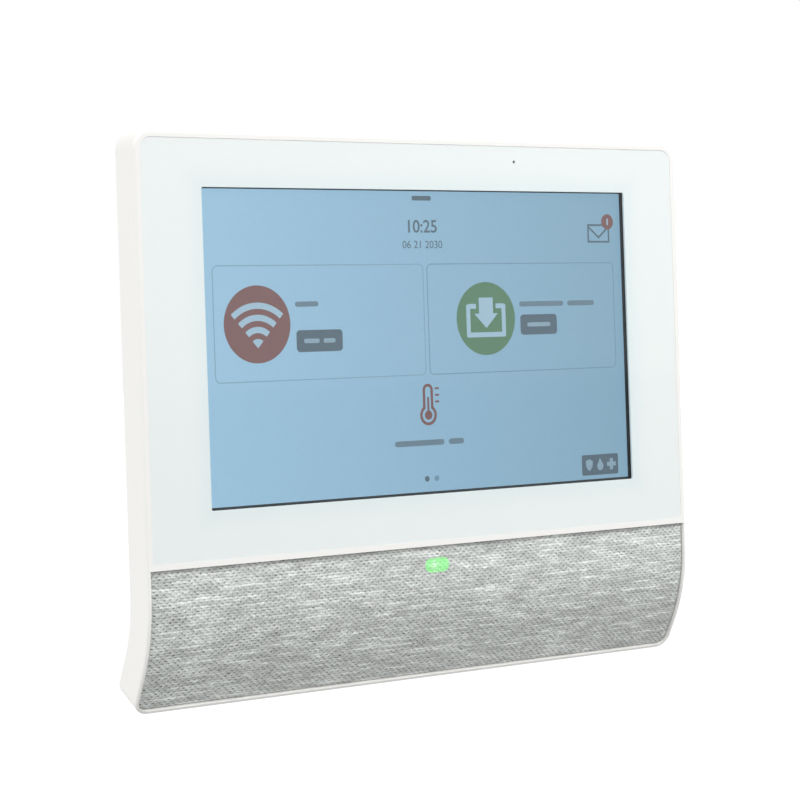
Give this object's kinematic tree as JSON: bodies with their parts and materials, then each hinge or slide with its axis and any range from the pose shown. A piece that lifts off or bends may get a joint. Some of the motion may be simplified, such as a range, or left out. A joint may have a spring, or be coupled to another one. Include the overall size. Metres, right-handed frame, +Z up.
{
  "type": "wall touch panel",
  "caption": "Thin white wall-hung smart display: a glass touch screen over a curved, cloth-covered sound grille, with a rear box that hooks onto a wall plate.",
  "frame": {"origin": "centre of the wall plate's four screw holes, on the wall's face", "axes": "+X to the right as seen from the front, +Y into the wall, +Z up"},
  "size_m": [0.1994, 0.027, 0.1642],
  "materials": {
    "plate_grey": "fine moulded texture",
    "housing_white": "fine satin moulding",
    "cover_white": "fine moulded texture",
    "cover_glass": "polished",
    "white_ink": "opaque back print",
    "black_tape": "foam tape",
    "sensor_film": "clear laminated glass",
    "lcd_glass": "dark display glass",
    "backlight_steel": "bright sheet",
    "chassis_metal": "die cast",
    "board_green": "solder mask",
    "tinned_steel": "bright",
    "chip_black": "moulded epoxy",
    "spreader_metal": "brushed",
    "socket_ivory": "moulded nylon",
    "terminal_green": "moulded nylon",
    "screw_zinc": "zinc plated",
    "flex_amber": "polyimide film",
    "board_blue": "solder mask",
    "battery_wrap": "shrink film",
    "black_silicone": "moulded",
    "grey_cloth": "heather grey speaker cloth",
    "frame_grey": "moulded",
    "diffuser": "milky",
    "led_clear": "clear resin",
    "speaker_black": "glass filled nylon",
    "cone_black": "pressed paper",
    "magnet_steel": "zinc plated",
    "plunger_white": "smooth acetal",
    "spring_steel": "drawn wire",
    "button_grey": "smooth"
  },
  "bodies": {
    "mount": {"wall_plate": "plate_grey"},
    "panel": {"front_housing": "housing_white", "rear_cover": "cover_white", "cover_glass": "cover_glass", "border_print": "white_ink", "glass_adhesive": "black_tape", "touch_sensor": "sensor_film", "display_gasket": "black_tape", "lcd_panel": "lcd_glass", "backlight_unit": "backlight_steel", "mid_frame": "chassis_metal", "main_board": "board_green", "shield_cans": "tinned_steel", "board_chips": "chip_black", "heat_spreader": "spreader_metal", "board_connectors": "socket_ivory", "terminal_block": "terminal_green", "terminal_screws": "screw_zinc", "lcd_flex": "flex_amber", "touch_flex": "flex_amber", "radio_card": "board_blue", "radio_module": "tinned_steel", "antennas": "flex_amber", "battery_pack": "battery_wrap", "battery_pad": "black_tape", "mic_boot": "black_silicone", "mic_board": "board_green", "mic_capsule": "tinned_steel", "grille_cloth": "grey_cloth", "grille_frame": "frame_grey", "light_pipe": "diffuser", "led_board": "board_green", "status_led": "led_clear", "speaker_gasket": "black_tape", "speaker_basket": "speaker_black", "speaker_surround": "black_silicone", "speaker_magnet": "magnet_steel", "tamper_spring": "spring_steel", "tamper_switch": "chip_black", "reset_switch": "chip_black", "rear_screws": "screw_zinc", "frame_screws": "screw_zinc", "board_screws": "screw_zinc"},
    "tamper": {"tamper_plunger": "plunger_white"},
    "reset": {"reset_button": "button_grey"},
    "cone": {"speaker_cone": "cone_black"}
  },
  "joints": [
    {"name": "lift_off", "type": "slide", "parent": "mount", "child": "panel", "axis": [0, 0, 1], "range_m": [0, 0.008]},
    {"name": "tamper_press", "type": "slide", "parent": "panel", "child": "tamper", "axis": [0, 1, 0], "range_m": [0, 0.0015], "stiffness_N_per_m": 100, "springref_m": 0.0015, "deforming": ["tamper_spring"]},
    {"name": "reset_press", "type": "slide", "parent": "panel", "child": "reset", "axis": [0, -1, 0], "range_m": [0, 0.0004], "stiffness_N_per_m": 2000},
    {"name": "cone_travel", "type": "slide", "parent": "panel", "child": "cone", "axis": [0, 0.9641, 0.2656], "range_m": [-0.0004, 0.0004], "stiffness_N_per_m": 2000, "deforming": ["speaker_surround"]}
  ]
}
